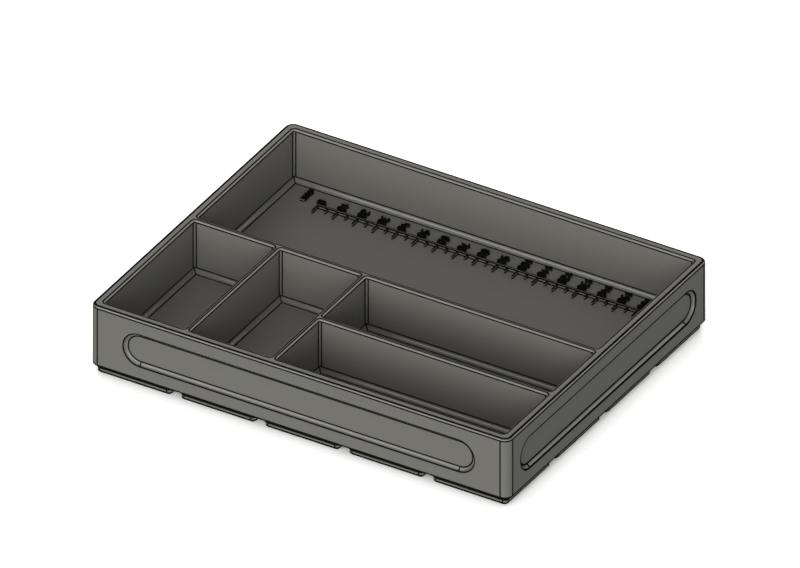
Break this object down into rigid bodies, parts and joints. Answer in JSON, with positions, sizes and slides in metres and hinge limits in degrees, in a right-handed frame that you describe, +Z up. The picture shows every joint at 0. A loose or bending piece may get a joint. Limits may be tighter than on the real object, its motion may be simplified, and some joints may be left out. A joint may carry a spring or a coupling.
{
  "type": "parts sorting tray",
  "caption": "Rectangular open sorting tray with small and long compartments, a raised millimetre ruler on the rear floor, grip recesses and grid feet.",
  "frame": {"origin": "middle of the underside, on the plane that the feet stand on", "axes": "+X along the long front side to the right, +Y from the front to the back, +Z up"},
  "size_m": [0.2094, 0.1676, 0.035],
  "materials": {
    "tray_plastic": "satin printed plastic",
    "foot_plastic": "satin printed plastic",
    "ruler_plastic": "satin printed plastic"
  },
  "bodies": {
    "root": {"tray_body": "tray_plastic", "rear_divider": "tray_plastic", "left_cross_divider": "tray_plastic", "middle_cross_divider": "tray_plastic", "long_divider": "tray_plastic", "foot_row1_column1": "foot_plastic", "foot_row1_column2": "foot_plastic", "foot_row1_column3": "foot_plastic", "foot_row1_column4": "foot_plastic", "foot_row1_column5": "foot_plastic", "foot_row2_column1": "foot_plastic", "foot_row2_column2": "foot_plastic", "foot_row2_column3": "foot_plastic", "foot_row2_column4": "foot_plastic", "foot_row2_column5": "foot_plastic", "foot_row3_column1": "foot_plastic", "foot_row3_column2": "foot_plastic", "foot_row3_column3": "foot_plastic", "foot_row3_column4": "foot_plastic", "foot_row3_column5": "foot_plastic", "foot_row4_column1": "foot_plastic", "foot_row4_column2": "foot_plastic", "foot_row4_column3": "foot_plastic", "foot_row4_column4": "foot_plastic", "foot_row4_column5": "foot_plastic", "ruler_line": "ruler_plastic", "major_ticks": "ruler_plastic", "minor_ticks": "ruler_plastic", "numeral_000": "ruler_plastic", "numeral_010": "ruler_plastic", "numeral_020": "ruler_plastic", "numeral_030": "ruler_plastic", "numeral_040": "ruler_plastic", "numeral_050": "ruler_plastic", "numeral_060": "ruler_plastic", "numeral_070": "ruler_plastic", "numeral_080": "ruler_plastic", "numeral_090": "ruler_plastic", "numeral_100": "ruler_plastic", "numeral_110": "ruler_plastic", "numeral_120": "ruler_plastic", "numeral_130": "ruler_plastic", "numeral_140": "ruler_plastic", "numeral_150": "ruler_plastic", "numeral_160": "ruler_plastic", "unit_mark": "ruler_plastic"}
  },
  "joints": []
}
